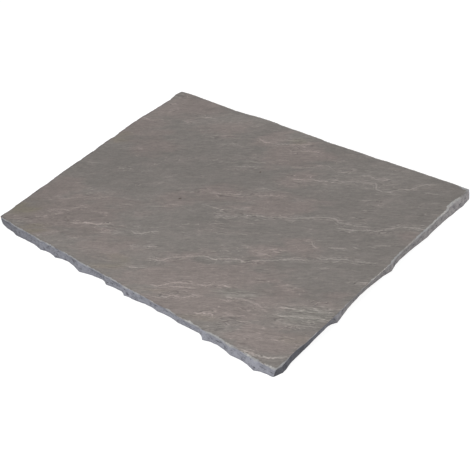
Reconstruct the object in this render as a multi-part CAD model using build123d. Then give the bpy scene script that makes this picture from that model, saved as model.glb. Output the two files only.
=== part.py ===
from build123d import *

import math
import os
from collections import namedtuple

# Sandstone paving slab: one piece of stone, split along its bedding to a calibrated thickness.
#
# The slab lies flat. +X runs along its length, +Y along its width and +Z up through the riven face
# that is walked on. The origin is the middle of the bed, the lower face that rests on the mortar.
#
# Its four sides are dressed by hand. A mason chips each side off along a line, so that the upper
# edge, the arris, keeps to the line within a few millimetres, while the foot of the side strays in
# and out. Every blow leaves a hollow scar, and two scars meet in a ridge that ends in a tooth at
# the foot.

# The size that the slab is sold in
LENGTH = 900.0
WIDTH = 600.0
THICKNESS = 22.0

# How far the dressed sides stray from their lines: a side's shape below is given in shares of these
ARRIS_STRAY = 3.0
FOOT_STRAY = 10.0

# How deep a scar is hollowed behind the straight line from arris to foot
SCAR_HOLLOW = 2.0

# The height of a scar's deepest line, as a share of the thickness
SCAR_LEVEL = 0.45

# One blow of the chisel, from its ridge to the next one. at is the ridge's place as a share of the
# side, arris and foot are how far the ridge stands out there, scar_at is where the scar cuts
# furthest in as a share of the blow, and nick and scar are how far it stands out there, at the
# arris and at the foot. Outwards is positive, in shares of ARRIS_STRAY and FOOT_STRAY.
Blow = namedtuple("Blow", "at arris foot scar_at nick scar")

# A corner of the slab: how far its arris and its foot stand out, along X and along Y
Corner = namedtuple("Corner", "arris foot")

# The long side at -Y flares out to its foot, with teeth that step back one after the other
NEAR_LONG_SIDE = [
    Blow(0.030, -0.1, 0.42, 0.30, -0.3, 0.43),
    Blow(0.079, 0.2, 0.90, 0.70, 0.0, 0.62),
    Blow(0.188, 0.3, 1.04, 0.55, -0.2, 0.54),
    Blow(0.250, 0.1, 0.92, 0.42, -0.3, 0.19),
    Blow(0.351, 0.3, 1.06, 0.80, 0.0, -0.07),
    Blow(0.448, 0.0, 0.54, 0.76, -0.2, 0.13),
    Blow(0.517, 0.3, 0.71, 0.50, 0.0, 0.48),
    Blow(0.560, 0.1, 0.34, 0.72, -0.2, -0.10),
    Blow(0.626, 0.2, 0.10, 0.50, -0.3, -0.17),
    Blow(0.699, 0.3, 0.09, 0.76, 0.1, -0.22),
    Blow(0.783, 0.1, 0.72, 0.46, -0.4, 0.06),
    Blow(0.868, 0.4, 0.66, 0.42, 0.0, 0.44),
    Blow(0.940, 0.3, 1.06, 0.50, 0.1, 0.32),
]

# The short side at +X is cut under, and three teeth reach back out to the line
RIGHT_SHORT_SIDE = [
    Blow(0.026, -0.2, -0.33, 0.50, -0.3, -0.36),
    Blow(0.046, -0.4, -0.42, 0.50, -1.0, -0.80),
    Blow(0.135, 0.0, -0.80, 0.80, 0.2, -0.98),
    Blow(0.280, 0.4, -0.09, 0.70, -0.1, -1.12),
    Blow(0.470, 0.2, -0.98, 0.26, 0.4, -0.83),
    Blow(0.560, 0.5, -0.09, 0.30, -0.2, -0.76),
    Blow(0.755, 0.3, -0.09, 0.25, 0.4, -0.21),
    Blow(0.880, 0.5, -0.05, 0.20, -1.2, 0.10),
    Blow(0.950, 0.8, 0.38, 0.50, 0.5, 0.26),
]

# The long side at +Y keeps to its line at the arris, with one shallow bay near the corner at -X
FAR_LONG_SIDE = [
    Blow(0.045, 0.6, 0.35, 0.55, 0.4, 0.05),
    Blow(0.140, 0.4, 0.55, 0.75, 0.2, -0.20),
    Blow(0.235, 0.2, 0.35, 0.40, -0.4, -0.35),
    Blow(0.318, -0.1, 0.15, 0.62, -0.5, -0.50),
    Blow(0.434, -0.6, 0.40, 0.30, 0.0, 0.05),
    Blow(0.532, 0.1, 0.60, 0.78, 0.2, 0.10),
    Blow(0.608, 0.8, 0.45, 0.50, 0.9, -0.20),
    Blow(0.690, 0.3, 0.65, 0.66, -0.6, 0.10),
    Blow(0.762, -1.1, 0.25, 0.45, -0.6, -0.45),
    Blow(0.846, -0.3, 0.05, 0.70, 0.1, -0.55),
    Blow(0.930, 0.5, 0.45, 0.45, 0.3, 0.15),
]

# The short side at -X runs straight, then draws in towards the corner at +Y past a small nick
LEFT_SHORT_SIDE = [
    Blow(0.030, -1.8, -0.15, 0.80, -2.6, -0.45),
    Blow(0.072, -3.4, -0.55, 0.75, -2.6, -0.65),
    Blow(0.135, -2.1, -0.15, 0.60, -1.2, -0.45),
    Blow(0.222, -0.1, 0.25, 0.55, 0.4, -0.10),
    Blow(0.330, 0.3, 0.50, 0.66, 0.0, 0.10),
    Blow(0.438, 0.5, 0.35, 0.40, 0.2, -0.30),
    Blow(0.560, -0.1, 0.10, 0.72, 0.4, -0.50),
    Blow(0.688, 0.1, 0.45, 0.50, -0.1, 0.05),
    Blow(0.790, -0.2, 0.60, 0.76, -0.4, 0.20),
    Blow(0.915, -0.4, 0.30, 0.50, -0.5, 0.05),
]

CORNER_LEFT_NEAR = Corner(arris=(-0.4, -0.9), foot=(0.10, -0.10))
CORNER_RIGHT_NEAR = Corner(arris=(-0.6, -0.6), foot=(-1.10, 0.15))
CORNER_RIGHT_FAR = Corner(arris=(0.1, 0.2), foot=(0.15, -0.30))
CORNER_LEFT_FAR = Corner(arris=(-3.0, -0.6), foot=(-0.70, -0.30))

# A ring of points goes round the slab against the clock, seen from above
Point = namedtuple("Point", "arris waist foot")


def blend(start, end, share):
    """The value a share of the way from start to end."""
    return start + (end - start) * share


def scar_depth(share, turn):
    """How far into the scar a point lies, from 0 at its ridges to 1 at its turn, where it is flat."""
    run = share / turn if share <= turn else (1 - share) / (1 - turn)
    return math.sin(run * math.pi / 2)


def stations(blows, closing):
    """(place, arris, foot, hollow) along a side: four for each blow, from its ridge to the next."""
    ends = list(blows[1:]) + [closing]
    for blow, following in zip(blows, ends):
        span = following.at - blow.at
        turn = blow.scar_at
        yield blow.at, blow.arris, blow.foot, 0.0
        for share in (turn / 2, turn, (turn + 1) / 2):
            ridge = blow if share <= turn else following
            depth = scar_depth(share, turn)
            arris = blend(ridge.arris, blow.nick, depth)
            foot = blend(ridge.foot, blow.scar, depth)
            yield blow.at + span * share, arris, foot, depth


def corner_point(corner, x_side, y_side):
    """The three points of a corner, one above the other. x_side and y_side are -1 or 1."""

    def place(x_out, y_out, stray, height):
        return Vector(x_side * (LENGTH / 2 + x_out * stray), y_side * (WIDTH / 2 + y_out * stray), height)

    arris = place(*corner.arris, ARRIS_STRAY, THICKNESS)
    foot = place(*corner.foot, FOOT_STRAY, 0.0)
    return Point(arris, arris + (foot - arris) * (1 - SCAR_LEVEL), foot)


def side_points(blows, start, along, outward, length, closing):
    """The points of one side between its corners."""
    for place, arris, foot, hollow in stations(blows, closing):
        on_line = start + along * (place * length)
        arris_out = arris * ARRIS_STRAY
        foot_out = foot * FOOT_STRAY
        waist_out = blend(foot_out, arris_out, SCAR_LEVEL) - hollow * SCAR_HOLLOW
        yield Point(
            on_line + outward * arris_out + Vector(0, 0, THICKNESS),
            on_line + outward * waist_out + Vector(0, 0, THICKNESS * SCAR_LEVEL),
            on_line + outward * foot_out,
        )


def closing_blow(corner, axis):
    """A corner read as the ridge that ends the side before it. axis is 1 if that side faces Y."""
    return Blow(1.0, corner.arris[axis], corner.foot[axis], 0.5, 0.0, 0.0)


def ring():
    """All points round the slab, from the corner at -X -Y."""
    east, north = Vector(1, 0, 0), Vector(0, 1, 0)
    half_x, half_y = LENGTH / 2, WIDTH / 2
    points = [corner_point(CORNER_LEFT_NEAR, -1, -1)]
    points += side_points(
        NEAR_LONG_SIDE, Vector(-half_x, -half_y), east, -north, LENGTH, closing_blow(CORNER_RIGHT_NEAR, 1)
    )
    points.append(corner_point(CORNER_RIGHT_NEAR, 1, -1))
    points += side_points(
        RIGHT_SHORT_SIDE, Vector(half_x, -half_y), north, east, WIDTH, closing_blow(CORNER_RIGHT_FAR, 0)
    )
    points.append(corner_point(CORNER_RIGHT_FAR, 1, 1))
    points += side_points(
        FAR_LONG_SIDE, Vector(half_x, half_y), -east, north, LENGTH, closing_blow(CORNER_LEFT_FAR, 1)
    )
    points.append(corner_point(CORNER_LEFT_FAR, -1, 1))
    points += side_points(
        LEFT_SHORT_SIDE, Vector(-half_x, half_y), -north, -east, WIDTH, closing_blow(CORNER_LEFT_NEAR, 0)
    )
    return points


def flat_face(corners):
    """The plane face inside a closed run of points."""
    return Face(Wire.make_polygon(corners, close=True))


def side_facets(upper, lower, next_upper, next_lower):
    """Two triangles for one patch of a side, cut along its shorter diagonal."""
    if (upper - next_lower).length < (lower - next_upper).length:
        return [flat_face([upper, lower, next_lower]), flat_face([upper, next_lower, next_upper])]
    return [flat_face([upper, lower, next_upper]), flat_face([lower, next_lower, next_upper])]


def slab():
    """The whole stone: its riven face, its bed and the facets of the four dressed sides."""
    points = ring()
    faces = [flat_face([p.arris for p in points]), flat_face([p.foot for p in points])]
    for here, following in zip(points, points[1:] + points[:1]):
        faces += side_facets(here.arris, here.waist, following.arris, following.waist)
        faces += side_facets(here.waist, here.foot, following.waist, following.foot)
    return Solid(Shell(faces))


os.makedirs("parts", exist_ok=True)
stone = slab()
stone.label = "slab"
export_step(stone, "parts/slab.step")
box = stone.bounding_box().size
print(f"slab: {box.X:.1f} x {box.Y:.1f} x {box.Z:.1f} mm, {stone.volume / 1000:.0f} cm3")
print(f"the stone is one valid closed solid: {stone.is_valid}")
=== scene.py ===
import math

import bpy
import numpy as np
from mathutils import Matrix, Vector, noise


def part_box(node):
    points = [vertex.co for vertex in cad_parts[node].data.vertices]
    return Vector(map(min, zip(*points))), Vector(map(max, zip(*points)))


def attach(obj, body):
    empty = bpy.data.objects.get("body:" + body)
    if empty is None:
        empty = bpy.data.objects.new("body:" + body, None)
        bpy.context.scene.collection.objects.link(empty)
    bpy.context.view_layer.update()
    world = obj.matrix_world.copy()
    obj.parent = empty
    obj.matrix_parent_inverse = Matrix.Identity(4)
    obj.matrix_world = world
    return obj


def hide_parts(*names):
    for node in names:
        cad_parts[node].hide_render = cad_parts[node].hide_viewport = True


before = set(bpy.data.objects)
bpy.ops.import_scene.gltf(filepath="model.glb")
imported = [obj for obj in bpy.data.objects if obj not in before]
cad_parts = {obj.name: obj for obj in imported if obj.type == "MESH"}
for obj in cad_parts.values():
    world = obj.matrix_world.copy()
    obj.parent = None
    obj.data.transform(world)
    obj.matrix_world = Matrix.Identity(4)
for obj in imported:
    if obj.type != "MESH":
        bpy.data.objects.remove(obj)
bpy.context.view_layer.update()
MM = 0.001


# The outline. The quarry splits the stone to thickness, and a mason chips its four sides off by
# hand, so each side runs from a fairly straight arris down to a ragged foot. The solid has that
# course as three rings of points, and the finished stone is drawn through them.
COLUMNS_LONG = 340
COLUMNS_SHORT = 226
CLOSE_TO_CORNER = [1.2 * MM, 3.0 * MM, 5.5 * MM]
SAME_LEVEL = 0.01 * MM

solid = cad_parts["slab"]
low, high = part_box("slab")
foot_level, waist_level, arris_level = sorted({round(v.co.z, 5) for v in solid.data.vertices})


def ring_at(level):
    """The solid's points at one height, against the clock from the middle of the side at +Y."""
    at_level = [v.co for v in solid.data.vertices if abs(v.co.z - level) < SAME_LEVEL]
    points = {tuple(round(c, 6) for c in place) for place in at_level}
    return np.array(sorted(points, key=lambda p: math.atan2(p[0], -p[1])))


def corner_number(ring, x_side, y_side):
    """Which point of the ring is the corner towards x_side and y_side."""
    return int(np.argmax(x_side * ring[:, 0] / high.x + y_side * ring[:, 1] / high.y))


rings = [ring_at(level) for level in (arris_level, waist_level, foot_level)]
first_corner = corner_number(rings[0], -1, -1)
rings = [np.roll(ring, -first_corner, axis=0) for ring in rings]
corners = [corner_number(rings[0], x, y) for x, y in ((-1, -1), (1, -1), (1, 1), (-1, 1))]
corners.append(len(rings[0]))


def column_places(points, count):
    """Where a side's columns of vertices stand, as a running number of its points: one at every
    point, a few close to each corner, and the rest spread evenly."""
    reach = np.concatenate([[0], np.cumsum(np.linalg.norm(np.diff(points, axis=0), axis=1))])
    near_ends = [d for gap in CLOSE_TO_CORNER for d in (gap, reach[-1] - gap)]
    fixed = np.unique(np.round(np.concatenate([reach, near_ends]), 6))
    gaps = np.diff(fixed)
    cells = np.maximum(1, np.floor(gaps / reach[-1] * count)).astype(int)
    while cells.sum() < count:
        cells[np.argmax(gaps / cells)] += 1
    while cells.sum() > count:
        cells[np.argmin(np.where(cells > 1, gaps / cells, np.inf))] -= 1
    places = [np.linspace(fixed[i], fixed[i + 1], n, endpoint=False) for i, n in enumerate(cells)]
    return np.interp(np.append(np.concatenate(places), reach[-1]), reach, np.arange(len(points)))


def side_columns(number):
    """The arris, waist and foot of one side, each with a point for every column but the last."""
    take = np.arange(corners[number], corners[number + 1] + 1) % len(rings[0])
    places = column_places(rings[0][take], COLUMNS_SHORT if number % 2 else COLUMNS_LONG)[:-1]
    steps = np.arange(len(take))
    return [
        np.stack([np.interp(places, steps, ring[take, axis]) for axis in range(3)], axis=1)
        for ring in rings
    ]


arris, waist, foot = [np.concatenate(level) for level in zip(*[side_columns(n) for n in range(4)])]


# The riven face. The stone split along a bedding plane, which left a nearly flat face with low
# ripples and crinkled edges where one lamina stops and the next begins. They all run along the
# strike of the bedding, at a slant to the sides.
STRIKE = math.radians(27)
SWELL = 0.35 * MM
SWELL_SIZES = (260 * MM, 120 * MM, 1)
RIPPLES = 0.25 * MM
RIPPLE_SIZES = (60 * MM, 14 * MM, 1)
LAMINA_SPACING = 26 * MM
LAMINA_STEP = 0.16 * MM
LAMINA_WAVES = 1.5
LAMINA_WAVE_SIZES = (150 * MM, 45 * MM, 1)
PRESENCE_SIZES = (120 * MM, 50 * MM, 1)
VEIN_STEP = 0.40 * MM
VEIN_TAPER = 12 * MM
PEAK_TRIM = 0.25 * MM

# How far a vein is looked for, and in its half widths: the distance that stands for no vein, and how
# its step fades
VEIN_REACH = 20 * MM
NO_VEIN = 20.0
VEIN_FADE = 9.0

# The main lamina edges: width in mm, paleness, and their course over the face in mm
VEINS = [
    (3.0, 0.8, [(20, -38), (35, -28), (50, -22), (65, -13), (85, 0), (98, 8), (112, 15), (130, 18),
                (150, 30), (165, 38), (182, 42), (196, 53), (206, 58), (220, 67), (235, 77), (250, 84),
                (265, 88), (280, 82), (300, 88), (318, 90), (345, 102)]),
    (2.6, 1.0, [(288, 65), (305, 72), (322, 77), (340, 87), (353, 94), (368, 100), (380, 113),
                (392, 124), (398, 133), (415, 140), (430, 147), (449, 151)]),
    (2.4, 0.6, [(-35, -22), (-18, -15), (5, -14), (25, -10), (32, -5), (40, 2), (52, 10), (68, 21),
                (80, 28)]),
    (3.0, 0.9, [(-8, -215), (3, -208), (25, -205), (35, -190), (42, -180), (60, -170), (75, -160),
                (95, -146), (110, -142), (125, -140), (140, -130), (155, -122), (172, -114), (178, -111),
                (185, -115), (196, -107), (210, -96), (228, -85), (245, -73), (262, -62), (282, -50),
                (308, -38)]),
    (3.0, 0.9, [(308, -27), (325, -26), (335, -17), (350, -11), (363, -2), (382, 2), (400, 9),
                (420, 18)]),
    (2.8, 0.8, [(85, 150), (105, 155), (120, 163), (133, 170), (152, 175), (170, 183), (180, 192),
                (198, 196), (212, 205), (240, 215), (262, 225), (270, 222), (277, 210), (296, 208),
                (310, 215), (317, 226), (327, 235), (343, 240), (352, 260), (362, 272), (375, 282)]),
    (2.6, 0.8, [(163, 218), (176, 223), (192, 228)]),
    (2.2, 0.6, [(205, 249), (222, 253), (237, 259)]),
    (2.4, 0.6, [(212, 232), (238, 240), (256, 236), (272, 246), (300, 254)]),
    (2.4, 0.7, [(103, 212), (115, 218), (130, 226), (145, 222)]),
    (3.2, 0.7, [(-96, 235), (-75, 228), (-52, 232), (-30, 240), (0, 252), (22, 263), (42, 272)]),
    (3.0, 0.5, [(-52, 245), (-30, 258), (-5, 266), (20, 278)]),
    (3.0, 0.8, [(8, 232), (16, 229), (30, 238), (52, 250), (75, 256)]),
    (2.0, 0.6, [(0, 186), (20, 192), (38, 200)]),
    (2.0, 0.6, [(50, 179), (62, 186), (78, 192), (95, 203), (112, 207)]),
    (2.4, 0.8, [(-65, 123), (-52, 130), (-32, 140), (0, 151)]),
    (2.2, 0.6, [(-55, 153), (-40, 156), (-22, 162)]),
    (2.0, 0.7, [(372, 246), (390, 252), (412, 259)]),
    (2.2, 0.6, [(268, 161), (280, 166), (294, 172)]),
    (2.2, 0.7, [(312, 10), (326, 15), (336, 20), (352, 27)]),
    (3.0, 0.8, [(352, 36), (362, 37), (372, 38)]),
    (2.0, 1.0, [(420, -45), (437, -36), (450, -28)]),
    (2.2, 0.9, [(250, 1), (262, 4), (268, 8), (276, 1), (286, -4), (295, -2)]),
    (2.2, 0.8, [(272, 12), (280, 17), (290, 21)]),
    (2.2, 0.6, [(252, -22), (262, -26), (272, -24)]),
    (2.8, 0.7, [(203, -60), (220, -52), (240, -45)]),
    (2.6, 0.7, [(188, -78), (200, -78), (206, -74), (228, -70)]),
    (3.0, 0.7, [(-48, 20), (-36, 24), (-22, 30), (-10, 38), (2, 43), (20, 47)]),
    (2.2, 0.6, [(-82, 18), (-70, 21), (-58, 26)]),
    (2.4, 0.7, [(52, 64), (64, 70), (80, 77), (100, 86), (122, 98)]),
    (2.6, 0.6, [(40, 86), (52, 92), (66, 96), (82, 98)]),
    (2.0, 0.5, [(68, 55), (84, 62)]),
    (2.4, 0.7, [(104, -18), (114, -13), (124, -10)]),
    (2.6, 0.9, [(-362, -218), (-346, -215), (-332, -206), (-320, -198), (-302, -193)]),
    (2.6, 1.1, [(-338, -224), (-325, -218), (-310, -208)]),
    (2.6, 0.7, [(-354, -247), (-343, -238), (-334, -230)]),
    (4.0, 1.2, [(-265, -221), (-246, -213), (-236, -205), (-216, -198), (-200, -193), (-188, -182),
                (-172, -174)]),
    (2.8, 0.9, [(-306, -188), (-302, -180), (-290, -171), (-274, -164)]),
    (2.6, 0.7, [(-258, -173), (-242, -164), (-224, -157), (-208, -150)]),
    (4.0, 0.4, [(-350, -165), (-330, -152), (-310, -138), (-288, -131), (-270, -118), (-254, -108)]),
    (2.4, 0.8, [(-236, -262), (-222, -256), (-202, -247)]),
    (2.4, 0.6, [(-290, -278), (-276, -265), (-263, -257), (-258, -246)]),
    (4.0, 0.5, [(-415, -297), (-398, -289), (-380, -280), (-364, -270), (-350, -265)]),
    (2.6, 1.1, [(-110, -168), (-96, -170), (-80, -162), (-70, -150), (-60, -142), (-48, -135)]),
    (2.4, 0.7, [(-122, -155), (-108, -150), (-98, -152)]),
    (3.0, 0.9, [(-46, -190), (-35, -184), (-22, -178)]),
    (2.4, 0.8, [(-78, -206), (-62, -201), (-50, -194)]),
    (2.4, 0.8, [(-32, -256), (-12, -250), (2, -242), (16, -232)]),
    (3.4, 0.8, [(-185, -206), (-165, -196), (-148, -188), (-132, -183)]),
    (2.8, 0.9, [(62, -268), (80, -263), (90, -251), (100, -239), (114, -229), (130, -222), (145, -217)]),
    (2.4, 0.9, [(106, -247), (130, -236), (146, -229), (158, -222)]),
    (2.4, 1.0, [(150, -262), (156, -255), (165, -245), (186, -232)]),
    (2.8, 1.0, [(150, -214), (168, -206), (190, -192), (206, -186), (222, -182)]),
    (2.8, 1.1, [(92, -290), (110, -282), (124, -272), (130, -263), (146, -260)]),
    (2.4, 1.2, [(205, -277), (222, -268), (240, -258), (248, -264)]),
    (3.2, 1.4, [(352, -298), (372, -294), (394, -291), (410, -287), (423, -280), (433, -272),
                (444, -264)]),
    (2.2, 0.7, [(-135, -84), (-115, -72), (-100, -65)]),
    (3.0, 0.5, [(-105, -58), (-88, -50), (-72, -46)]),
    (3.4, 0.7, [(-332, -25), (-315, -17), (-302, -10), (-290, -5)]),
    (3.4, 0.6, [(-268, -4), (-252, 6), (-238, 12)]),
    (4.0, 0.4, [(-432, -44), (-405, -36), (-378, -25)]),
    (2.6, 0.5, [(-202, 7), (-190, 12), (-176, 19)]),
    (3.0, 0.4, [(-398, 33), (-386, 43), (-370, 52), (-352, 60)]),
    (2.4, 0.6, [(305, -126), (325, -118), (346, -111)]),
    (2.6, 0.9, [(342, -196), (365, -189), (386, -178), (412, -166), (430, -157), (447, -150)]),
    (3.0, 0.9, [(340, -177), (352, -170), (372, -162), (395, -155), (415, -148), (432, -138),
                (447, -128)]),
    (2.4, 0.9, [(378, -203), (400, -195), (425, -184), (447, -174)]),
    (4.0, 0.6, [(225, -208), (240, -205), (252, -200), (262, -195), (285, -192), (305, -191),
                (330, -197)]),
    (2.4, 0.8, [(230, -219), (240, -216), (250, -209)]),
    (2.6, 0.6, [(-175, 168), (-160, 174), (-148, 180), (-130, 190), (-112, 197)]),
    (3.0, 0.6, [(-308, 123), (-298, 127), (-286, 134)]),
    (3.0, 0.6, [(-398, 179), (-386, 181), (-378, 186)]),
    (2.6, 0.8, [(-450, 163), (-432, 164), (-415, 164)]),
    (2.4, 0.5, [(-302, 234), (-290, 239), (-278, 244)]),
]

# Soft patches of tint, of painted shade, of painted light and of crinkled lines: x, y, half length
# along the strike and half breadth in mm, and amount
ROSY_PATCHES = [
    (-340, 255, 110, 45, 0.8), (-200, 225, 80, 32, 0.7), (-62, 250, 50, 35, 0.8),
    (42, 225, 90, 48, 1.0), (118, 62, 100, 45, 1.0), (-35, 30, 60, 34, 0.8), (-100, -38, 60, 32, 0.8),
    (-320, 85, 60, 40, 0.8), (-370, 130, 50, 28, 0.7), (-300, -200, 160, 75, 1.0),
    (-110, -232, 90, 38, 0.8), (130, -210, 190, 70, 1.0), (270, -18, 46, 30, 0.9),
    (205, -66, 46, 22, 0.8), (335, -140, 46, 24, 0.8), (420, -90, 36, 18, 0.7),
    (390, -250, 90, 42, 0.9), (430, 120, 28, 22, 0.7), (-400, -150, 70, 45, 0.8),
    (180, -262, 300, 46, 0.9), (100, 150, 60, 36, 0.6), (-410, 140, 70, 60, 0.8),
    (-380, 262, 90, 40, 0.9),
]
PALE_PATCHES = [(398, -165, 75, 26, 1.0), (245, -190, 52, 16, 0.8), (-55, 140, 40, 14, 0.4)]
OLIVE_PATCHES = [
    (-425, -245, 60, 26, 1.0), (-335, -282, 50, 14, 0.8), (-70, -262, 55, 26, 0.5),
    (60, -288, 70, 10, 0.4), (210, -290, 60, 10, 0.4), (425, -220, 30, 20, 0.3),
    (-430, 75, 30, 22, 0.6), (0, 268, 26, 12, 0.6),
]
# Painted shade: the face is darkened in these patches
PAINTED_SHADE_PATCHES = [
    (-330, 0, 200, 110, 1.0), (-120, 70, 220, 70, 0.7), (240, 140, 160, 50, 0.4),
    (-425, -215, 70, 90, 1.2), (-285, -190, 180, 70, 1.1), (-45, 15, 110, 32, 1.0),
    (45, -48, 90, 36, 0.9), (110, -30, 90, 26, 0.5), (330, -128, 100, 26, 0.5), (350, 70, 70, 26, 0.4),
    (-370, -272, 90, 40, 1.1), (160, 75, 70, 20, 0.5), (80, -172, 60, 22, 0.6),
    (200, -115, 90, 30, 0.5), (-120, -215, 70, 26, 0.6), (-410, -155, 70, 40, 1.2),
    (-235, -232, 60, 26, 1.5), (275, -172, 60, 22, 0.7), (-430, 125, 40, 40, 0.5),
]
# Painted light: the face is brightened in these patches
PAINTED_LIGHT_PATCHES = [
    (270, -292, 190, 42, 0.9), (-200, 270, 130, 34, 1.4), (-20, 280, 90, 28, 1.1),
    (280, 278, 170, 34, 0.9), (-432, 50, 34, 36, 0.7), (230, 190, 100, 40, 0.7),
    (330, -172, 60, 20, 0.8), (-432, 240, 60, 36, 0.8), (60, -290, 70, 30, 0.9),
    (320, 185, 60, 26, 0.6), (-425, 178, 40, 24, 0.5),
]
CRINKLED_PATCHES = [(320, -245, 170, 44, 0.7), (-320, -235, 80, 34, 0.8), (400, -150, 60, 30, 0.8)]
CRINKLED_WEIGHT = 1.6

# Dark spots of iron: x, y and radius in mm, and the distance in radii that stands for no spot
IRON_SPOTS = [(-96, -30, 4.5), (3, 134, 3.0), (102, 11, 2.2), (96, 156, 2.0)]
NO_SPOT = 100


def fractal(points, sizes, octaves, seed):
    """Fractal noise from about -1 to 1 at each point. sizes are its lumps' sizes along the axes."""
    shift = Vector((seed, seed, seed))
    scaled = (points / np.array(sizes)).tolist()
    return np.array([noise.fractal(Vector(p) + shift, 0.9, 2.1, octaves) for p in scaled])


def smooth(values, start, end):
    """0 below start, 1 above end and a smooth ramp between them."""
    share = np.clip((values - start) / (end - start), 0, 1)
    return share * share * (3 - 2 * share)


def along_strike(x, y):
    """Coordinates along the strike and across it."""
    run, rise = math.cos(STRIKE), math.sin(STRIKE)
    return x * run + y * rise, y * run - x * rise


def vein_fields(x, y):
    """At each point: how many half widths it lies from the nearest vein, positive on the side
    towards the back, and how pale the vein is there."""
    offset, paleness = np.full(x.shape, NO_VEIN), np.zeros(x.shape)
    for width, pale, course in VEINS:
        path = np.array(course) * MM
        spans = np.diff(path, axis=0)
        lengths = np.linalg.norm(spans, axis=1)
        reach = np.cumsum(lengths)
        for start, span, length, end in zip(path, spans, lengths, reach):
            middle = start + span / 2
            close = np.flatnonzero(np.hypot(x - middle[0], y - middle[1]) < length + VEIN_REACH)
            dx, dy = x[close] - start[0], y[close] - start[1]
            share = np.clip((dx * span[0] + dy * span[1]) / length**2, 0, 1)
            side = np.where(span[0] * dy - span[1] * dx < 0, -1.0, 1.0)
            away = side * np.hypot(dx - share * span[0], dy - share * span[1]) / (width * MM / 2)
            gone = end - length + share * length
            taper = smooth(np.minimum(gone, reach[-1] - gone), -VEIN_TAPER / 2, VEIN_TAPER)
            nearer = np.abs(away) < np.abs(offset[close])
            offset[close[nearer]] = away[nearer]
            paleness[close[nearer]] = pale * taper[nearer]
    return offset, paleness


def riven_face(x, y):
    """The height of the riven face at each point, and the fields that its colour follows."""
    along, across = along_strike(x, y)
    place = np.stack([along, across, np.zeros_like(x)], axis=1)
    offset, paleness = vein_fields(x, y)
    lamina = across / LAMINA_SPACING + LAMINA_WAVES * fractal(place, LAMINA_WAVE_SIZES, 4, seed=5.3)
    presence = smooth(fractal(place, PRESENCE_SIZES, 3, seed=2.2), -0.3, 0.5)
    drop = SWELL * (0.5 - 0.5 * fractal(place, SWELL_SIZES, 3, seed=8.8))
    drop += RIPPLES * (0.5 - 0.5 * fractal(place, RIPPLE_SIZES, 4, seed=4.4))
    drop += LAMINA_STEP * presence * (lamina - np.floor(lamina))
    vein_step = np.tanh(offset) * np.exp(-np.abs(offset) / VEIN_FADE) * paleness
    drop += VEIN_STEP * (0.5 - 0.5 * vein_step)
    height = arris_level - np.clip(drop - PEAK_TRIM, 0, None)
    return height, {
        "vein_offset": offset,
        "vein_paleness": paleness * (1 - smooth(np.abs(offset), 5.0, 8.0)),
        "crinkled": paleness * (1 - smooth(np.abs(offset), 3.0, 14.0)),
        "lamina": lamina,
        "lamina_presence": presence,
    }


def cover(x, y, patches):
    """How strongly the soft, ragged patches cover each point, from 0 to 1."""
    along, across = along_strike(x, y)
    place = np.stack([along, across, np.zeros_like(x)], axis=1)
    ragged = fractal(place, (70 * MM, 24 * MM, 1), 4, seed=9.6)
    covered = np.zeros(x.shape)
    for patch_x, patch_y, length, breadth, amount in patches:
        run, rise = along_strike(x - patch_x * MM, y - patch_y * MM)
        away = np.hypot(run / (length * MM), rise / (breadth * MM)) + 0.5 * ragged
        covered = np.maximum(covered, amount * (1 - smooth(away, 0.3, 1.4)))
    return covered


def spot_distance(x, y):
    """How many radii each point lies from the middle of the nearest iron spot."""
    return np.minimum.reduce([
        np.hypot(x - at_x * MM, y - at_y * MM) / (radius * MM) for at_x, at_y, radius in IRON_SPOTS
    ])


def node(tree, kind, sockets=None, **settings):
    """Adds a shader node. Each socket gets a value or another node's output."""
    made = tree.nodes.new("ShaderNode" + kind)
    for name, value in settings.items():
        setattr(made, name, value)
    for socket, value in (sockets or {}).items():
        if isinstance(value, bpy.types.NodeSocket):
            tree.links.new(value, made.inputs[socket])
        else:
            made.inputs[socket].default_value = value
    return made


def calculate(tree, operation, *values):
    """One step of arithmetic on shader values."""
    return node(tree, "Math", dict(enumerate(values)), operation=operation).outputs[0]


def ramp(tree, value, start, end):
    """0 at start and 1 at end, with a smooth rise between them."""
    limits = {"Value": value, "From Min": start, "From Max": end}
    return node(tree, "MapRange", limits, interpolation_type="SMOOTHSTEP").outputs["Result"]


def tint(tree, share, first, second):
    """The first colour where share is 0 and the second where it is 1."""
    return node(tree, "Mix", {0: share, 6: first, 7: second}, data_type="RGBA").outputs[2]


def brighten(tree, colour, tone):
    """A colour times a tone."""
    return node(tree, "VectorMath", {0: colour, "Scale": tone}, operation="SCALE").outputs[0]


def cloudy(tree, vector, size, detail=2.0):
    """Soft noise around 0.5 with lumps of the given size in metres."""
    look = {"Vector": vector, "Scale": 1 / size, "Detail": detail}
    return node(tree, "TexNoise", look).outputs[0]


def weigh_down(tree, colour, mask, weight):
    """Darkens a colour where the mask is 1 by a negative weight. A positive one brightens it."""
    return brighten(tree, colour, calculate(tree, "MULTIPLY_ADD", mask, weight, 1.0))


def painted(tree, name):
    """A number that the mesh carries at each vertex."""
    return node(tree, "Attribute", attribute_name=name).outputs["Fac"]


def crest(tree, tone, level, breadth):
    """Thin lines where a tone passes a level."""
    away = calculate(tree, "ABSOLUTE", calculate(tree, "SUBTRACT", tone, level))
    return ramp(tree, away, breadth, 0.0)


def times(tree, *masks):
    """Several masks multiplied together."""
    product = masks[0]
    for mask in masks[1:]:
        product = calculate(tree, "MULTIPLY", product, mask)
    return product


def wavy(tree, vector, size, reach):
    """The vector pushed about by soft noise, so what follows it runs in waves."""
    drift = node(tree, "TexNoise", {"Vector": vector, "Scale": 1 / size, "Detail": 2}).outputs["Color"]
    middle = {0: drift, 1: (0.5, 0.5, 0.5)}
    centred = node(tree, "VectorMath", middle, operation="SUBTRACT").outputs[0]
    push = {0: centred, 1: (reach, reach, 0), 2: vector}
    return node(tree, "VectorMath", push, operation="MULTIPLY_ADD").outputs[0]


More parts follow.
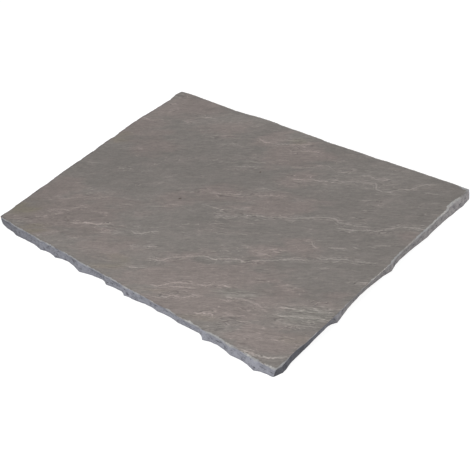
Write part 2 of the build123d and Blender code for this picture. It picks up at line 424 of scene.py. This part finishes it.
def add_up(tree, *amounts):
    """Adds weighted values: each amount is a value, its middle and its weight."""
    total = 0.0
    for value, middle, weight in amounts:
        part = calculate(tree, "MULTIPLY_ADD", value, weight, -middle * weight)
        total = calculate(tree, "ADD", total, part)
    return total


def screen_colour(red, green, blue):
    """A colour in screen values from 0 to 255, as a shader takes it."""
    return tuple(((value / 255 + 0.055) / 1.055) ** 2.4 for value in (red, green, blue)) + (1,)


def new_group(name, inputs, outputs):
    """An empty node group with named sockets, and the sockets of its two end nodes."""
    group = bpy.data.node_groups.new(name, "ShaderNodeTree")
    for socket in inputs:
        kind = "NodeSocketVector" if socket == "Vector" else "NodeSocketFloat"
        group.interface.new_socket(socket, in_out="INPUT", socket_type=kind)
    for socket in outputs:
        group.interface.new_socket(socket, in_out="OUTPUT", socket_type="NodeSocketFloat")
    given = group.nodes.new("NodeGroupInput").outputs
    result = group.nodes.new("NodeGroupOutput").inputs
    return group, given, result


def bedding_streaks():
    """Noise drawn out along the bedding into streaks of a given length and breadth."""
    sockets = ["Vector", "Length", "Breadth", "Detail"]
    group, given, result = new_group("bedding streaks", sockets, ["Tone"])
    size = node(group, "CombineXYZ", {0: given["Length"], 1: given["Breadth"], 2: given["Breadth"]})
    scaled = node(group, "VectorMath", {0: given["Vector"], 1: size.outputs[0]}, operation="DIVIDE")
    look = {"Vector": scaled.outputs[0], "Scale": 1, "Detail": given["Detail"], "Distortion": 0.6}
    streaky = node(group, "TexNoise", look)
    group.links.new(streaky.outputs[0], result["Tone"])
    return group


def sand_grain():
    """The grain of the sand: its tone, and the few grains that stand out as flecks."""
    group, given, result = new_group("sand grain", ["Vector", "Size"], ["Tone", "Flecks"])
    scale = calculate(group, "DIVIDE", 1, given["Size"])
    look = {"Vector": given["Vector"], "Scale": scale, "Detail": 3, "Roughness": 0.7}
    fine = node(group, "TexNoise", look)
    coarser = calculate(group, "MULTIPLY", scale, 0.5)
    cells = node(group, "TexVoronoi", {"Vector": given["Vector"], "Scale": coarser})
    chosen = node(group, "SeparateColor", {"Color": cells.outputs["Color"]}).outputs["Red"]
    inside = ramp(group, cells.outputs["Distance"], 0.42, 0.25)
    flecks = calculate(group, "MULTIPLY", inside, ramp(group, chosen, 0.80, 0.84))
    group.links.new(fine.outputs[0], result["Tone"])
    group.links.new(flecks, result["Flecks"])
    return group


STREAKS = bedding_streaks()
GRAIN = sand_grain()


def streaks(tree, vector, size, detail=4.0):
    """Streaks of a given length and breadth along the x axis of the vector, around 0.5."""
    look = {"Vector": vector, "Length": size[0], "Breadth": size[1], "Detail": detail}
    return node(tree, "Group", look, node_tree=STREAKS).outputs["Tone"]


def grain(tree, vector, size):
    """The tone and the flecks of the sand grain."""
    return node(tree, "Group", {"Vector": vector, "Size": size}, node_tree=GRAIN).outputs


def new_finish(name):
    """An empty material, its node tree, its shader and the place on the piece."""
    finish = bpy.data.materials.new(name)
    finish.use_nodes = True
    tree = finish.node_tree
    return finish, tree, tree.nodes["Principled BSDF"], node(tree, "TexCoord").outputs["Object"]


def finish_surface(tree, shader, colour, roughness, relief):
    """Joins the colour, the roughness and the relief in millimetres to the shader."""
    bump = node(tree, "Bump", {"Height": relief, "Strength": 1.0, "Distance": MM})
    tree.links.new(colour, shader.inputs["Base Color"])
    tree.links.new(roughness, shader.inputs["Roughness"])
    tree.links.new(bump.outputs["Normal"], shader.inputs["Normal"])


# The sizes of the streaks along the strike and across it, and of the sand
BROAD_STREAK = (110 * MM, 26 * MM)
LONG_STREAK = (22 * MM, 5 * MM)
FINE_STREAK = (13 * MM, 2.2 * MM)
VEIN_BREAKS = (18 * MM, 4 * MM)
PALE_LINES = (60 * MM, 4.2 * MM)
LEAF_CONTOURS = (110 * MM, 20 * MM)
LEAF_BREAKS = (36 * MM, 7 * MM)
FACE_SAND = 1.1 * MM

# How many contour lines the crinkled places are drawn with
LEAVES = 9.0

# How much painted shade and light, the flecks and painted shade along the rim change the tone
SHADE_WEIGHT = -0.10
FLECK_WEIGHT = 0.10
RIM_SHADE_WEIGHT = -0.40
RIM_SHADE_WIDTH = 5.5 * MM

GREENISH_GREY = screen_colour(122, 117, 113)
ROSY_GREY = screen_colour(129, 120, 116)
PALE_GREY = screen_colour(123, 119, 114)
OLIVE_GREY = screen_colour(122, 116, 103)
IRON_BROWN = screen_colour(78, 66, 58)
BRUISE_COLOUR = screen_colour(161, 162, 163)
BRUISE_REACH = 2.0 * MM
CHIP_COLOUR = screen_colour(196, 192, 186)


def bruise(tree, place, colour):
    """Lays the pale crushed stone along the arris, and its palest chips, over a colour."""
    ragged = add_up(tree, (cloudy(tree, place, 6 * MM), 0.5, 5 * MM))
    depth = calculate(tree, "ADD", painted(tree, "bruise_depth"), ragged)
    worn = times(tree, ramp(tree, depth, BRUISE_REACH, 0.4 * MM), painted(tree, "bruised"))
    colour = tint(tree, calculate(tree, "MULTIPLY", worn, 0.8), colour, BRUISE_COLOUR)
    patchy = ramp(tree, cloudy(tree, place, 4.5 * MM), 0.37, 0.54)
    chip = times(tree, ramp(tree, depth, BRUISE_REACH, 0.2 * MM), painted(tree, "chipped"), patchy)
    return tint(tree, calculate(tree, "MULTIPLY", chip, 0.75), colour, CHIP_COLOUR)


def riven_finish():
    """The colour, roughness and fine relief of the riven face."""
    finish, tree, shader, place = new_finish("riven sandstone")
    to_strike = {"Vector": place, "Rotation": (0, 0, STRIKE)}
    turned = node(tree, "Mapping", to_strike, vector_type="TEXTURE").outputs[0]
    on_strike = wavy(tree, wavy(tree, turned, 40 * MM, 10 * MM), 9 * MM, 3.5 * MM)
    broad = streaks(tree, on_strike, BROAD_STREAK)
    long = streaks(tree, on_strike, LONG_STREAK)
    fine = streaks(tree, on_strike, FINE_STREAK)
    sand = grain(tree, place, FACE_SAND)

    rosiness = add_up(tree, (painted(tree, "rosy"), 0, 1.0), (broad, 0.5, 1.2), (long, 0.5, 0.8))
    colour = tint(tree, ramp(tree, rosiness, -0.1, 0.88), GREENISH_GREY, ROSY_GREY)
    colour = tint(tree, painted(tree, "pale"), colour, PALE_GREY)
    smeared = ramp(tree, broad, 0.30, 0.65)
    colour = tint(tree, times(tree, painted(tree, "olive"), smeared), colour, OLIVE_GREY)
    tone = add_up(tree, (broad, 0.5, 0.27), (long, 0.5, 0.52), (fine, 0.5, 0.49),
                  (sand["Tone"], 0.5, 0.43), (cloudy(tree, place, 5 * MM, detail=3.0), 0.5, 0.29))
    colour = brighten(tree, colour, calculate(tree, "ADD", tone, 1.0))

    paleness = painted(tree, "vein_paleness")
    wobble = add_up(tree, (painted(tree, "vein_offset"), 0, 1.0),
                    (cloudy(tree, place, 7 * MM), 0.5, 4.5), (cloudy(tree, place, 2.2 * MM), 0.5, 1.8))
    across_vein = calculate(tree, "ABSOLUTE", wobble)
    unbroken = ramp(tree, streaks(tree, on_strike, VEIN_BREAKS), 0.35, 0.60)
    unbroken = calculate(tree, "MULTIPLY_ADD", unbroken, 0.5, 0.5)
    vein = times(tree, ramp(tree, across_vein, 2.1, 0.0), paleness, unbroken)
    doubled = times(tree, paleness, ramp(tree, cloudy(tree, place, 30 * MM), 0.44, 0.56))
    second_vein = times(tree, crest(tree, across_vein, 4.2, 1.6), doubled, ramp(tree, fine, 0.35, 0.55))
    lined = ramp(tree, streaks(tree, on_strike, PALE_LINES), 0.50, 0.62)
    lined = times(tree, lined, painted(tree, "pale"))

    level = calculate(tree, "ADD", painted(tree, "lamina"), add_up(tree, (fine, 0.5, 0.12)))
    edge = ramp(tree, calculate(tree, "PINGPONG", level, 0.5), 0.06, 0.0)
    hairline = times(tree, edge, painted(tree, "lamina_presence"), ramp(tree, long, 0.42, 0.62))
    gathered = add_up(tree, (painted(tree, "crinkled"), 0, 0.35), (broad, 0.5, 1.6),
                      (cloudy(tree, place, 50 * MM), 0.5, 1.0))
    gathered = ramp(tree, gathered, -0.05, 0.45)
    leaves = calculate(tree, "MULTIPLY", streaks(tree, on_strike, LEAF_CONTOURS, detail=2.0), LEAVES)
    leaf = calculate(tree, "FRACT", leaves)
    broken = ramp(tree, streaks(tree, on_strike, LEAF_BREAKS, detail=2.0), 0.40, 0.56)
    crinkle = times(tree, crest(tree, leaf, 0.50, 0.15), gathered, broken)
    # A dark line beside each crinkle: painted shadow of its small step, and a dip in the relief
    crease_and_painted_shadow = times(tree, crest(tree, leaf, 0.74, 0.16), gathered, broken)
    lift = add_up(tree, (vein, 0, 0.70), (second_vein, 0, 0.34), (lined, 0, 0.42),
                  (hairline, 0, 0.34), (crinkle, 0, 0.45), (crease_and_painted_shadow, 0, -0.35))
    colour = brighten(tree, colour, calculate(tree, "ADD", lift, 1.0))

    spot = add_up(tree, (painted(tree, "iron_spot"), 0, 1.0), (cloudy(tree, place, 4 * MM), 0.5, 1.6))
    colour = tint(tree, ramp(tree, spot, 1.2, 0.2), colour, IRON_BROWN)
    at_rim = painted(tree, "rim_distance")
    # Painted shade darkens the face close to the rim
    painted_rim_shade = times(tree, ramp(tree, at_rim, RIM_SHADE_WIDTH, 1.0 * MM), painted(tree, "painted_rim_shade"))
    colour = weigh_down(tree, colour, painted_rim_shade, RIM_SHADE_WEIGHT)
    # Painted shade and painted light in soft patches over the face
    colour = weigh_down(tree, colour, painted(tree, "painted_shade_and_light"), SHADE_WEIGHT)
    colour = bruise(tree, place, colour)
    colour = weigh_down(tree, colour, sand["Flecks"], FLECK_WEIGHT)

    roughness = calculate(tree, "MULTIPLY_ADD", sand["Tone"], 0.25, 0.72)
    relief = add_up(tree, (long, 0.5, 0.70), (fine, 0.5, 0.45), (sand["Tone"], 0.5, 0.12),
                    (vein, 0, 0.20), (second_vein, 0, 0.14), (lined, 0, 0.14), (hairline, 0, 0.16),
                    (crinkle, 0, 0.24), (crease_and_painted_shadow, 0, -0.20))
    finish_surface(tree, shader, colour, roughness, relief)
    return finish


# The dressed sides. Each blow of the chisel split the stone off in a hollow scar. The fresh break is
# rough, it steps a little from one lamina of the bedding to the next, and the arris is bruised.
SIDE_ROWS = 14
BREAK_DEPTH = 0.45 * MM
BREAK_SIZES = (11 * MM, 11 * MM, 8 * MM)
LEDGE_DEPTH = 0.42 * MM
LEDGE_SIZES = (28 * MM, 28 * MM, 28 * MM)
LAMINA_THICKNESS = 2.4 * MM
LAYER_SHIFT = 50 * MM
BRUISE_DROP = 1.4 * MM
BRUISE_WIDTH = (1.2 * MM, 5.5 * MM)
BRUISE_NEAR_SIDE = 0.45
BRUISE_RIGHT_SIDE = 0.58
CHIP_DEPTH = 2.2 * MM
CHIP_SIZES = (7 * MM, 7 * MM, 7 * MM)

# The palest chips of the arris: x, y and half length in mm, and amount
CHIPS = [
    (450, -21, 10, 0.9), (451, 8, 18, 1.0), (450, 172, 24, 0.6), (452, 212, 13, 1.0),
    (450, 250, 32, 0.5), (450, 100, 20, 0.4), (30, -300, 14, 0.6), (103, -300, 9, 0.9),
    (-257, -300, 8, 0.5), (205, -300, 24, 0.5), (322, -300, 18, 0.5), (372, -300, 16, 0.6),
    (425, -300, 18, 0.7),
]


def chipped(x, y):
    """How strongly the chips cover a place at the arris, from 0 to 1."""
    covered = np.zeros(x.shape)
    for chip_x, chip_y, length, amount in CHIPS:
        away = np.hypot(x - chip_x * MM, y - chip_y * MM) / (length * MM)
        covered = np.maximum(covered, amount * (1 - smooth(away, 0.5, 1.1)))
    return covered


def bruised(x, y):
    """How badly the arris is bruised at a place near it, from 0 to 1: worst along the near long
    side and along the back half of the short side at the right."""
    noisy = fractal(np.stack([x, y, np.zeros_like(x)], axis=1), (30 * MM, 30 * MM, 1), 4, seed=3.1)
    near_side = BRUISE_NEAR_SIDE * smooth(-y, 240 * MM, 280 * MM)
    right_side = BRUISE_RIGHT_SIDE * smooth(x, 420 * MM, 440 * MM) * smooth(y, -80 * MM, 40 * MM)
    return smooth(noisy + np.maximum(near_side, right_side), -0.1, 0.7)


crushed = bruised(arris[:, 0], arris[:, 1]) * (1 - smooth(arris[:, 1], 250 * MM, 290 * MM))
rim_height = riven_face(arris[:, 0], arris[:, 1])[0] - BRUISE_DROP * crushed
tangent = np.roll(waist, -3, axis=0) - np.roll(waist, 3, axis=0)
outward = np.stack([tangent[:, 1], -tangent[:, 0], np.zeros(len(waist))], axis=1)
outward /= np.linalg.norm(outward, axis=1)[:, None]


def side_row(share):
    """The row of side vertices that lies share of the way up from the foot to the rim."""
    height = rim_height * share
    upper = (height > waist_level)[:, None]
    start, end = np.where(upper, waist, foot), np.where(upper, arris, waist)
    row = start + (end - start) * ((height - start[:, 2]) / (end[:, 2] - start[:, 2]))[:, None]
    rough = fractal(row, BREAK_SIZES, 4, seed=7.7)
    layer = row * [1, 1, 0] + [0, 0, LAYER_SHIFT] * np.floor(row[:, 2:] / LAMINA_THICKNESS)
    ledge = fractal(layer, LEDGE_SIZES, 2, seed=1.9)
    chip = fractal(row * [1, 1, 0.5], CHIP_SIZES, 3, seed=4.6) * bruised(row[:, 0], row[:, 1])
    inward = BREAK_DEPTH * rough + LEDGE_DEPTH * ledge * math.sin(math.pi * share)
    inward += CHIP_DEPTH * np.clip(chip, 0, None) * share**5
    return row - outward * inward[:, None]


side_rows = np.array([side_row(1 - row / SIDE_ROWS) for row in range(SIDE_ROWS + 1)])
rim = side_rows[0]


# The bedding lines, the sand, and how much side darkening and painted shade at the foot darken the sides
BEDDING_LINES = (45 * MM, 2 * MM)
SIDE_SAND = 1.0 * MM
SIDE_DARKENING_WEIGHT = -0.47
FOOT_SHADE_HEIGHT = 3.5 * MM
FOOT_SHADE_WEIGHT = -0.22
FRESH_STONE = screen_colour(148, 149, 158)
GREY_PAINTED_LIGHT_STONE = screen_colour(158, 154, 154)
DARK_STONE = screen_colour(86, 86, 95)


def dressed_finish():
    """The fresh, bluish break of the four sides, with its bedding lines and its bruised arris."""
    finish, tree, shader, place = new_finish("dressed sandstone")
    flat_beds = streaks(tree, wavy(tree, place, 12 * MM, 2 * MM), BEDDING_LINES)
    lumps = cloudy(tree, place, 9 * MM, detail=4.0)
    chips = cloudy(tree, place, 2.8 * MM, detail=3.0)
    sand = grain(tree, place, SIDE_SAND)
    dark = add_up(tree, (flat_beds, 0.5, 1.4), (lumps, 0.5, 1.2), (chips, 0.5, 0.7))
    # Greyer stone with painted light towards the back of the right side
    colour = tint(tree, painted(tree, "grey_and_painted_light"), FRESH_STONE, GREY_PAINTED_LIGHT_STONE)
    colour = tint(tree, ramp(tree, dark, -0.05, 0.50), colour, DARK_STONE)
    tone = add_up(tree, (lumps, 0.5, -0.5), (sand["Tone"], 0.5, 0.6), (sand["Flecks"], 0, 0.35))
    colour = brighten(tree, colour, calculate(tree, "ADD", tone, 1.0))
    # Painted shade on the right side towards the front; the near side darker towards the left
    colour = weigh_down(tree, colour, painted(tree, "side_darkening"), SIDE_DARKENING_WEIGHT)
    # Painted shade along the foot of the sides
    height = node(tree, "SeparateXYZ", {0: place}).outputs["Z"]
    painted_foot_shade = ramp(tree, add_up(tree, (height, 0, 1.0), (lumps, 0.5, 12 * MM)), FOOT_SHADE_HEIGHT, 0.5 * MM)
    colour = weigh_down(tree, colour, painted_foot_shade, FOOT_SHADE_WEIGHT)
    colour = bruise(tree, place, colour)
    roughness = calculate(tree, "MULTIPLY_ADD", sand["Tone"], 0.2, 0.75)
    relief = add_up(tree, (flat_beds, 0.5, 0.8), (chips, 0.5, 1.0), (sand["Tone"], 0.5, 0.2))
    finish_surface(tree, shader, colour, roughness, relief)
    return finish


# The bed. A calibrated slab is cut flat from below until it has its thickness, so the lower face is
# plain stone with faint saw lines. The photograph hides it.
SAWN_STONE = screen_colour(130, 129, 128)
SAWN_SHADE = screen_colour(116, 116, 117)
BED_CLOUDS = (120 * MM, 40 * MM)
SAW_LINE_SPACING = 3.0 * MM

# The length in metres of one wave of the wave texture at scale 1
WAVE_LENGTH = 0.314


def bed_finish():
    """Plain stone with soft clouds and the faint lines of the saw."""
    finish, tree, shader, place = new_finish("sawn bed")
    clouds = streaks(tree, place, BED_CLOUDS)
    sand = grain(tree, place, FACE_SAND)
    scale = WAVE_LENGTH / SAW_LINE_SPACING
    saw = {"Vector": place, "Scale": scale, "Distortion": 1.5, "Detail": 2}
    lines = node(tree, "TexWave", saw).outputs["Fac"]
    tone = add_up(tree, (clouds, 0.5, 0.25), (sand["Tone"], 0.5, 0.3), (lines, 0.5, 0.03))
    colour = tint(tree, ramp(tree, clouds, 0.35, 0.65), SAWN_STONE, SAWN_SHADE)
    colour = brighten(tree, colour, calculate(tree, "ADD", tone, 1.0))
    roughness = calculate(tree, "MULTIPLY_ADD", sand["Tone"], 0.2, 0.65)
    relief = add_up(tree, (lines, 0.5, 0.05), (sand["Tone"], 0.5, 0.08))
    finish_surface(tree, shader, colour, roughness, relief)
    return finish


# The stone as one mesh: a grid over the riven face that ends at the rim, the rows of the four sides
# below it, and the flat bed.
SHARP_ANGLE = math.radians(38)

right_corner = COLUMNS_LONG
back_corner = right_corner + COLUMNS_SHORT
left_corner = back_corner + COLUMNS_LONG
around = np.arange(len(rim) + 1) % len(rim)
near_rim = around[:right_corner + 1]
right_rim = around[right_corner:back_corner + 1]
far_rim = around[back_corner:left_corner + 1][::-1]
left_rim = around[left_corner:][::-1]


def share_of_run(points, axis):
    """How far along the axis each point of a rim lies, from 0 to 1."""
    return (points[:, axis] - points[0, axis]) / (points[-1, axis] - points[0, axis])


def grid_inside_rim():
    """Points over the face, a row for each column of the long sides, that meet the rim all round."""
    u = share_of_run(rim[near_rim], 0)[:, None, None]
    v = share_of_run(rim[right_rim], 1)[None, :, None]
    between_long_sides = rim[near_rim][:, None] * (1 - v) + rim[far_rim][:, None] * v
    between_short_sides = rim[left_rim][None] * (1 - u) + rim[right_rim][None] * u
    near_line = rim[near_rim[0]] * (1 - u) + rim[near_rim[-1]] * u
    far_line = rim[far_rim[0]] * (1 - u) + rim[far_rim[-1]] * u
    return between_long_sides + between_short_sides - near_line * (1 - v) - far_line * v


grid = grid_inside_rim()
lines = [rim[near_rim][:, None], rim[far_rim][:, None], rim[left_rim][None], rim[right_rim][None]]
away_from_lines = np.array([np.linalg.norm((grid - line)[..., :2], axis=2) for line in lines])
line_heights = np.array([np.broadcast_to(line[..., 2], grid.shape[:2]) for line in lines])
nearest = np.argmin(away_from_lines, axis=0)[None]
rim_distance = np.take_along_axis(away_from_lines, nearest, 0).ravel()
nearest_height = np.take_along_axis(line_heights, nearest, 0).ravel()

face = grid.reshape(-1, 3)
face_height, face_fields = riven_face(face[:, 0], face[:, 1])
wide = smooth(fractal(face, (22 * MM, 22 * MM, 1), 3, seed=6.1), -0.3, 0.5)
bruise_width = BRUISE_WIDTH[0] + (BRUISE_WIDTH[1] - BRUISE_WIDTH[0]) * wide
on_bruise = 1 - smooth(rim_distance, 0, bruise_width)
face[:, 2] = face_height + (nearest_height - face_height) * on_bruise

grid_number = np.arange(len(face)).reshape(grid.shape[:2])
rim_number = np.concatenate([
    grid_number[:-1, 0], grid_number[-1, :-1], grid_number[:0:-1, -1], grid_number[0, :0:-1]
])
lower_numbers = len(face) + np.arange(SIDE_ROWS * len(rim)).reshape(SIDE_ROWS, -1)
row_numbers = np.vstack([rim_number, lower_numbers])
next_numbers = np.roll(row_numbers, -1, axis=1)
face_quads = np.stack(
    [grid_number[:-1, :-1], grid_number[1:, :-1], grid_number[1:, 1:], grid_number[:-1, 1:]], axis=2
).reshape(-1, 4)
side_quads = np.stack(
    [row_numbers[:-1], row_numbers[1:], next_numbers[1:], next_numbers[:-1]], axis=2
).reshape(-1, 4)
bed = row_numbers[-1][::-1]

vertices = np.concatenate([face, side_rows[1:].reshape(-1, 3)])
vertices = np.clip(vertices, list(low), list(high))
mesh = bpy.data.meshes.new("stone")
mesh.from_pydata(vertices.tolist(), [], face_quads.tolist() + side_quads.tolist() + [bed.tolist()])
mesh.shade_smooth()
mesh.set_sharp_from_angle(angle=SHARP_ANGLE)


def paint(name, on_face, on_sides):
    """Stores a number at each vertex for the materials to read."""
    attribute = mesh.attributes.new(name, "FLOAT", "POINT")
    side_count = len(vertices) - len(face)
    values = [np.broadcast_to(on_face, len(face)), np.broadcast_to(on_sides, side_count)]
    attribute.data.foreach_set("value", np.concatenate(values).astype(np.float32))


def down_the_side(values):
    """A number for each column of the rim, repeated on every row below it."""
    return np.tile(values, SIDE_ROWS)


# The veins, the laminae and the patches of the riven face
face_x, face_y = face[:, 0], face[:, 1]
rim_x, rim_y = rim[:, 0], rim[:, 1]
face_fields["crinkled"] += CRINKLED_WEIGHT * cover(face_x, face_y, CRINKLED_PATCHES)
for name, values in face_fields.items():
    paint(name, values, 0)
for name, patches in {"rosy": ROSY_PATCHES, "pale": PALE_PATCHES, "olive": OLIVE_PATCHES}.items():
    paint(name, cover(face_x, face_y, patches), 0)
# Painted shade from the one set of patches, less painted light from the other
painted_shade_and_light = cover(face_x, face_y, PAINTED_SHADE_PATCHES) - cover(face_x, face_y, PAINTED_LIGHT_PATCHES)
paint("painted_shade_and_light", painted_shade_and_light, 0)
paint("iron_spot", spot_distance(face_x, face_y), NO_SPOT)

# Painted shade lies along the rim at the left and, less of it, along the near rim
RIM_SHADE_NEAR_SIDE = 0.40
rim_shade_left = smooth(-face_x, 420 * MM, 440 * MM)
rim_shade_near = RIM_SHADE_NEAR_SIDE * smooth(-face_y, 250 * MM, 280 * MM)
paint("rim_distance", rim_distance, 0)
paint("painted_rim_shade", np.maximum(rim_shade_left, rim_shade_near), 0)

# The bruise creeps over the face along the back of the right side and towards the corner between it
# and the near side, and a little way down all four sides
CREEP_RIGHT = 2 * MM
CREEP_NEAR = 1.8 * MM
CREEP_DOWN = 0.7 * MM
creep = CREEP_RIGHT * (smooth(face_y, -60 * MM, 100 * MM) + smooth(face_y, 200 * MM, 260 * MM))
creep *= smooth(face_x, 420 * MM, 440 * MM)
creep += CREEP_NEAR * smooth(-face_y, 270 * MM, 290 * MM) * smooth(face_x, 0, 380 * MM)
below_rim = (rim[:, 2] - side_rows[1:, :, 2]).ravel()
paint("bruise_depth", rim_distance - creep, below_rim - CREEP_DOWN)
paint("chipped", chipped(face_x, face_y), down_the_side(chipped(rim_x, rim_y)))
paint("bruised", bruised(face_x, face_y), down_the_side(bruised(rim_x, rim_y)))

# The right side is greyer towards the back, with painted light over it there, and carries painted
# shade towards the front. The near side is darker towards the left.
on_near_side = np.arange(len(rim)) < right_corner
on_right_side = ~on_near_side & (np.arange(len(rim)) < back_corner)
paint("grey_and_painted_light", 0, down_the_side(on_right_side * smooth(rim_y, -180 * MM, -80 * MM)))
near_darkening = 0.45 * smooth(-rim_x, -330 * MM, 300 * MM) + 0.34 * smooth(-rim_x, 260 * MM, 400 * MM)
right_painted_shade = 1.15 * smooth(-rim_y, 100 * MM, 250 * MM)
paint("side_darkening", 0, down_the_side(on_right_side * right_painted_shade + on_near_side * near_darkening))

for finish in (riven_finish(), dressed_finish(), bed_finish()):
    mesh.materials.append(finish)
finish_numbers = [0] * len(face_quads) + [1] * len(side_quads) + [2]
mesh.polygons.foreach_set("material_index", finish_numbers)
mesh.update()

stone = bpy.data.objects.new("stone", mesh)
bpy.context.scene.collection.objects.link(stone)
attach(stone, "root")
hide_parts("slab")


# The stage: a plain white floor under soft studio light, and the camera of the photograph. The floor
# and the sky are white to the camera alone: the stone is lit by a grey floor and a weaker sky.
FLOOR_SIZE = 14.0
FLOOR_GAP = 0.2 * MM
FLOOR_GREY = (0.35, 0.35, 0.35, 1)
FLOOR_GLOW = 0.79
SKY_STRENGTH = 0.386

# The strength of each distant light, and the direction that it comes from
DISTANT_LIGHTS = {
    "near light": (0.53, (-0.30, -0.80, 0.62)),
    "right light": (1.57, (0.85, 0.25, 0.50)),
    "back light": (0.90, (-0.75, 0.55, 0.14)),
}
DISTANT_SPREAD = math.radians(40)
SOFTBOX_PLACE = Vector((0.20, -1.40, 0.80))
SOFTBOX_AIM = Vector((0.05, -0.10, 0.0))
SOFTBOX_SIZE = 0.9
SOFTBOX_POWER = 10.6

floor_mesh = bpy.data.meshes.new("floor")
half = FLOOR_SIZE / 2
floor_outline = ((-half, -half), (half, -half), (half, half), (-half, half))
floor_corners = [(x, y, -FLOOR_GAP) for x, y in floor_outline]
floor_mesh.from_pydata(floor_corners, [], [(0, 1, 2, 3)])
floor = bpy.data.objects.new("floor", floor_mesh)
bpy.context.scene.collection.objects.link(floor)
floor_finish, tree, shader = new_finish("white floor")[:3]
shader.inputs["Base Color"].default_value = FLOOR_GREY
shader.inputs["Roughness"].default_value = 0.9
shader.inputs["Specular IOR Level"].default_value = 0.0
shader.inputs["Emission Color"].default_value = (1, 1, 1, 1)
seen = node(tree, "LightPath").outputs["Is Camera Ray"]
tree.links.new(calculate(tree, "MULTIPLY", seen, FLOOR_GLOW), shader.inputs["Emission Strength"])
floor_mesh.materials.append(floor_finish)

world = bpy.data.worlds.new("studio")
world.use_nodes = True
tree = world.node_tree
seen = node(tree, "LightPath").outputs["Is Camera Ray"]
strength = calculate(tree, "MULTIPLY_ADD", seen, 1 - SKY_STRENGTH, SKY_STRENGTH)
tree.nodes["Background"].inputs["Color"].default_value = (1, 1, 1, 1)
tree.links.new(strength, tree.nodes["Background"].inputs["Strength"])
bpy.context.scene.world = world


def put_light(name, kind, direction):
    """Adds a light that shines from the given direction."""
    light = bpy.data.objects.new(name, bpy.data.lights.new(name, kind))
    light.rotation_euler = Vector(direction).to_track_quat("Z", "Y").to_euler()
    bpy.context.scene.collection.objects.link(light)
    return light


for name, (strength, direction) in DISTANT_LIGHTS.items():
    light = put_light(name, "SUN", direction)
    light.data.energy = strength
    light.data.angle = DISTANT_SPREAD
softbox = put_light("softbox", "AREA", SOFTBOX_PLACE - SOFTBOX_AIM)
softbox.location = SOFTBOX_PLACE
softbox.data.size = SOFTBOX_SIZE
softbox.data.energy = SOFTBOX_POWER

CAMERA_PLACE = (1.48405, -1.06333, 1.33400)
CAMERA_RIGHT = (0.699817, 0.682549, -0.210673)
CAMERA_DOWN = (0.318439, -0.562095, -0.763312)
CAMERA_FORWARD = (-0.639417, 0.467092, -0.610714)
CAMERA_LENS = 77.8

camera = bpy.data.objects.new("camera", bpy.data.cameras.new("camera"))
camera.data.lens = CAMERA_LENS
turn_axes = Matrix((CAMERA_RIGHT, -Vector(CAMERA_DOWN), -Vector(CAMERA_FORWARD))).transposed()
camera.matrix_world = Matrix.Translation(CAMERA_PLACE) @ turn_axes.to_4x4()
bpy.context.scene.collection.objects.link(camera)
bpy.context.scene.camera = camera
bpy.context.scene.view_settings.view_transform = "Standard"
